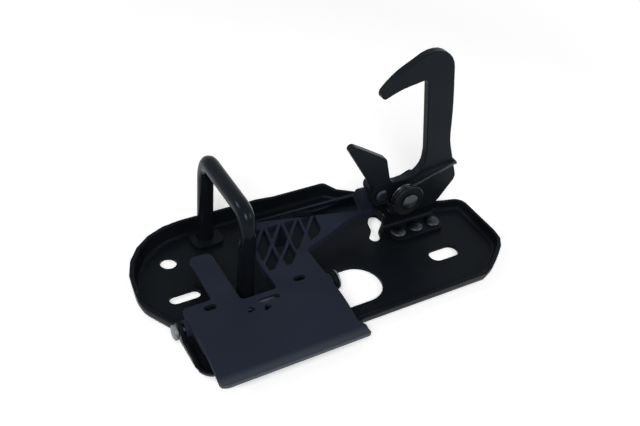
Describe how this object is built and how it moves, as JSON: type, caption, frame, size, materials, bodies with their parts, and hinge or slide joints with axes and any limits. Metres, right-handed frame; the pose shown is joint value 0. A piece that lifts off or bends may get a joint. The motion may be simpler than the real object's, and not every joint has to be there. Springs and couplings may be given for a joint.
{
  "type": "bonnet latch",
  "caption": "Upper bonnet latch: pressed tray with a wire striker loop, a sprung safety hook and a moulded release handle whose arm lifts the hook's tail.",
  "frame": {"origin": "middle of the bounding box on the tray's flat underside", "axes": "+X along the tray from the handle end to the hook end, -Y towards the handle's finger lip, +Z from the tray towards the top of the striker and hook"},
  "size_m": [0.1866, 0.106, 0.109],
  "materials": {
    "black_coated_steel": "satin black electrocoat on steel",
    "moulded_plastic": "fine grained dark moulding",
    "bush_plastic": "smooth dark bearing plastic",
    "zinc_plated_steel": "dull zinc plating",
    "spring_steel": "oiled spring wire",
    "rubber": "matt"
  },
  "bodies": {
    "tray": {"base_plate": "black_coated_steel", "striker": "black_coated_steel", "striker_washer_rear": "black_coated_steel", "striker_washer_front": "black_coated_steel", "hook_bracket": "black_coated_steel", "bracket_rivet_1": "zinc_plated_steel", "bracket_rivet_2": "zinc_plated_steel", "bracket_rivet_3": "zinc_plated_steel", "hook_pivot_rivet": "zinc_plated_steel", "hook_washer": "bush_plastic", "hinge_pin": "zinc_plated_steel", "hinge_pin_clip": "zinc_plated_steel", "handle_bumper": "rubber"},
    "release_handle": {"handle": "moulded_plastic", "handle_spring_left": "spring_steel", "handle_spring_right": "spring_steel"},
    "safety_hook": {"hook": "black_coated_steel", "hook_bush": "bush_plastic", "hook_tail_pin": "zinc_plated_steel", "tail_roller": "bush_plastic", "hook_spring": "spring_steel"}
  },
  "joints": [
    {"name": "handle_press", "type": "hinge", "parent": "tray", "child": "release_handle", "pos_m": [-0.04512, -0.01553, 0.0092], "axis": [1, 0, 0], "range_deg": [0, 9], "stiffness_Nm_per_rad": 1, "springref_deg": -11.46},
    {"name": "hook_swing", "type": "hinge", "parent": "tray", "child": "safety_hook", "pos_m": [0.04478, 0.00887, 0.0296], "axis": [0, 1, 0], "range_deg": [0, 24.75], "stiffness_Nm_per_rad": 0.3, "springref_deg": -28.65}
  ],
  "couplings": [
    {"joint": "hook_swing", "follows": "handle_press", "ratio": 2.75}
  ]
}
